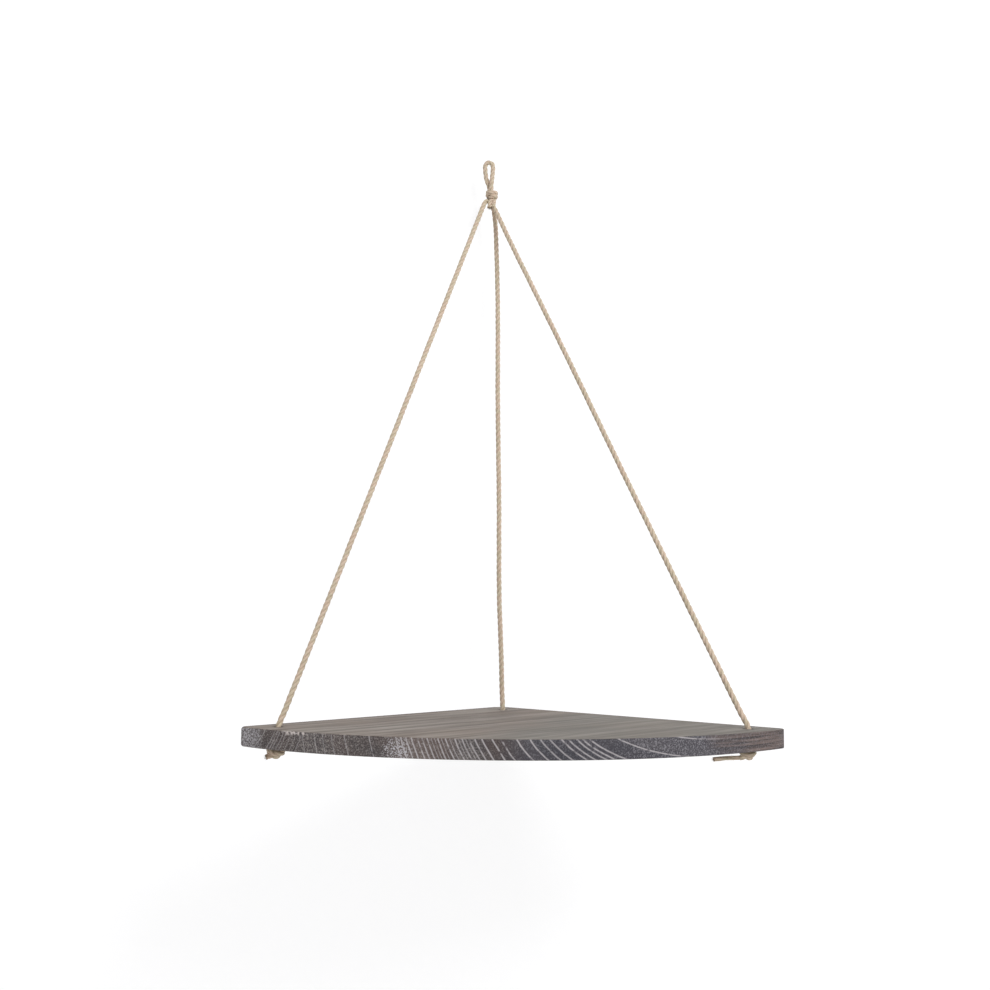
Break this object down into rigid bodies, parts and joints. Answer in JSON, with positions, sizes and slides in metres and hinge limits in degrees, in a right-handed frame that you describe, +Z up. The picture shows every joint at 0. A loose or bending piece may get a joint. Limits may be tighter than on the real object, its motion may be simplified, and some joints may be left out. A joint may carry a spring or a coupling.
{
  "type": "hanging rope shelf",
  "caption": "Quarter-round wooden corner shelf hung on knotted ropes that meet in a top knot under a small hanging loop.",
  "frame": {"origin": "inside of the hanging loop's top, where the wall hook bears", "axes": "+Z up, curved front edge of the board towards -Y, wall corner towards +Y, +X to the right seen from the front"},
  "size_m": [0.5598, 0.3961, 0.7372],
  "materials": {
    "washed_wood": "grey-brown washed wood, matt, with pale filled pores and rings on the cut edge",
    "natural_rope": "undyed twisted natural fibre rope"
  },
  "bodies": {
    "loop": {"hanging_loop": "natural_rope"},
    "knot_top": {"top_knot_upper": "natural_rope"},
    "knot_bottom": {"top_knot_lower": "natural_rope"},
    "ropes": {"left_rope": "natural_rope", "left_stop_knot": "natural_rope", "left_rope_tail": "natural_rope", "right_rope": "natural_rope", "right_stop_knot": "natural_rope", "right_rope_tail": "natural_rope", "back_rope": "natural_rope", "back_stop_knot": "natural_rope", "back_rope_tail": "natural_rope"},
    "board": {"shelf_board": "washed_wood"}
  },
  "joints": [
    {"name": "side_swing", "type": "hinge", "parent": "loop", "child": "knot_top", "pos_m": [0.0035, 0, -0.046], "axis": [0, 1, 0], "range_deg": [-15, 15]},
    {"name": "twist", "type": "hinge", "parent": "knot_top", "child": "knot_bottom", "pos_m": [0.0035, 0, -0.046], "axis": [0, 0, 1], "range_deg": [-30, 30], "stiffness_Nm_per_rad": 0.3},
    {"name": "forward_swing", "type": "hinge", "parent": "knot_bottom", "child": "ropes", "pos_m": [0.0035, 0, -0.046], "axis": [-1, 0, 0], "range_deg": [0, 25]},
    {"name": "board_tip", "type": "hinge", "parent": "ropes", "child": "board", "pos_m": [0.021, -0.2738, -0.717], "axis": [1, 0, 0], "range_deg": [0, 2.5]}
  ]
}
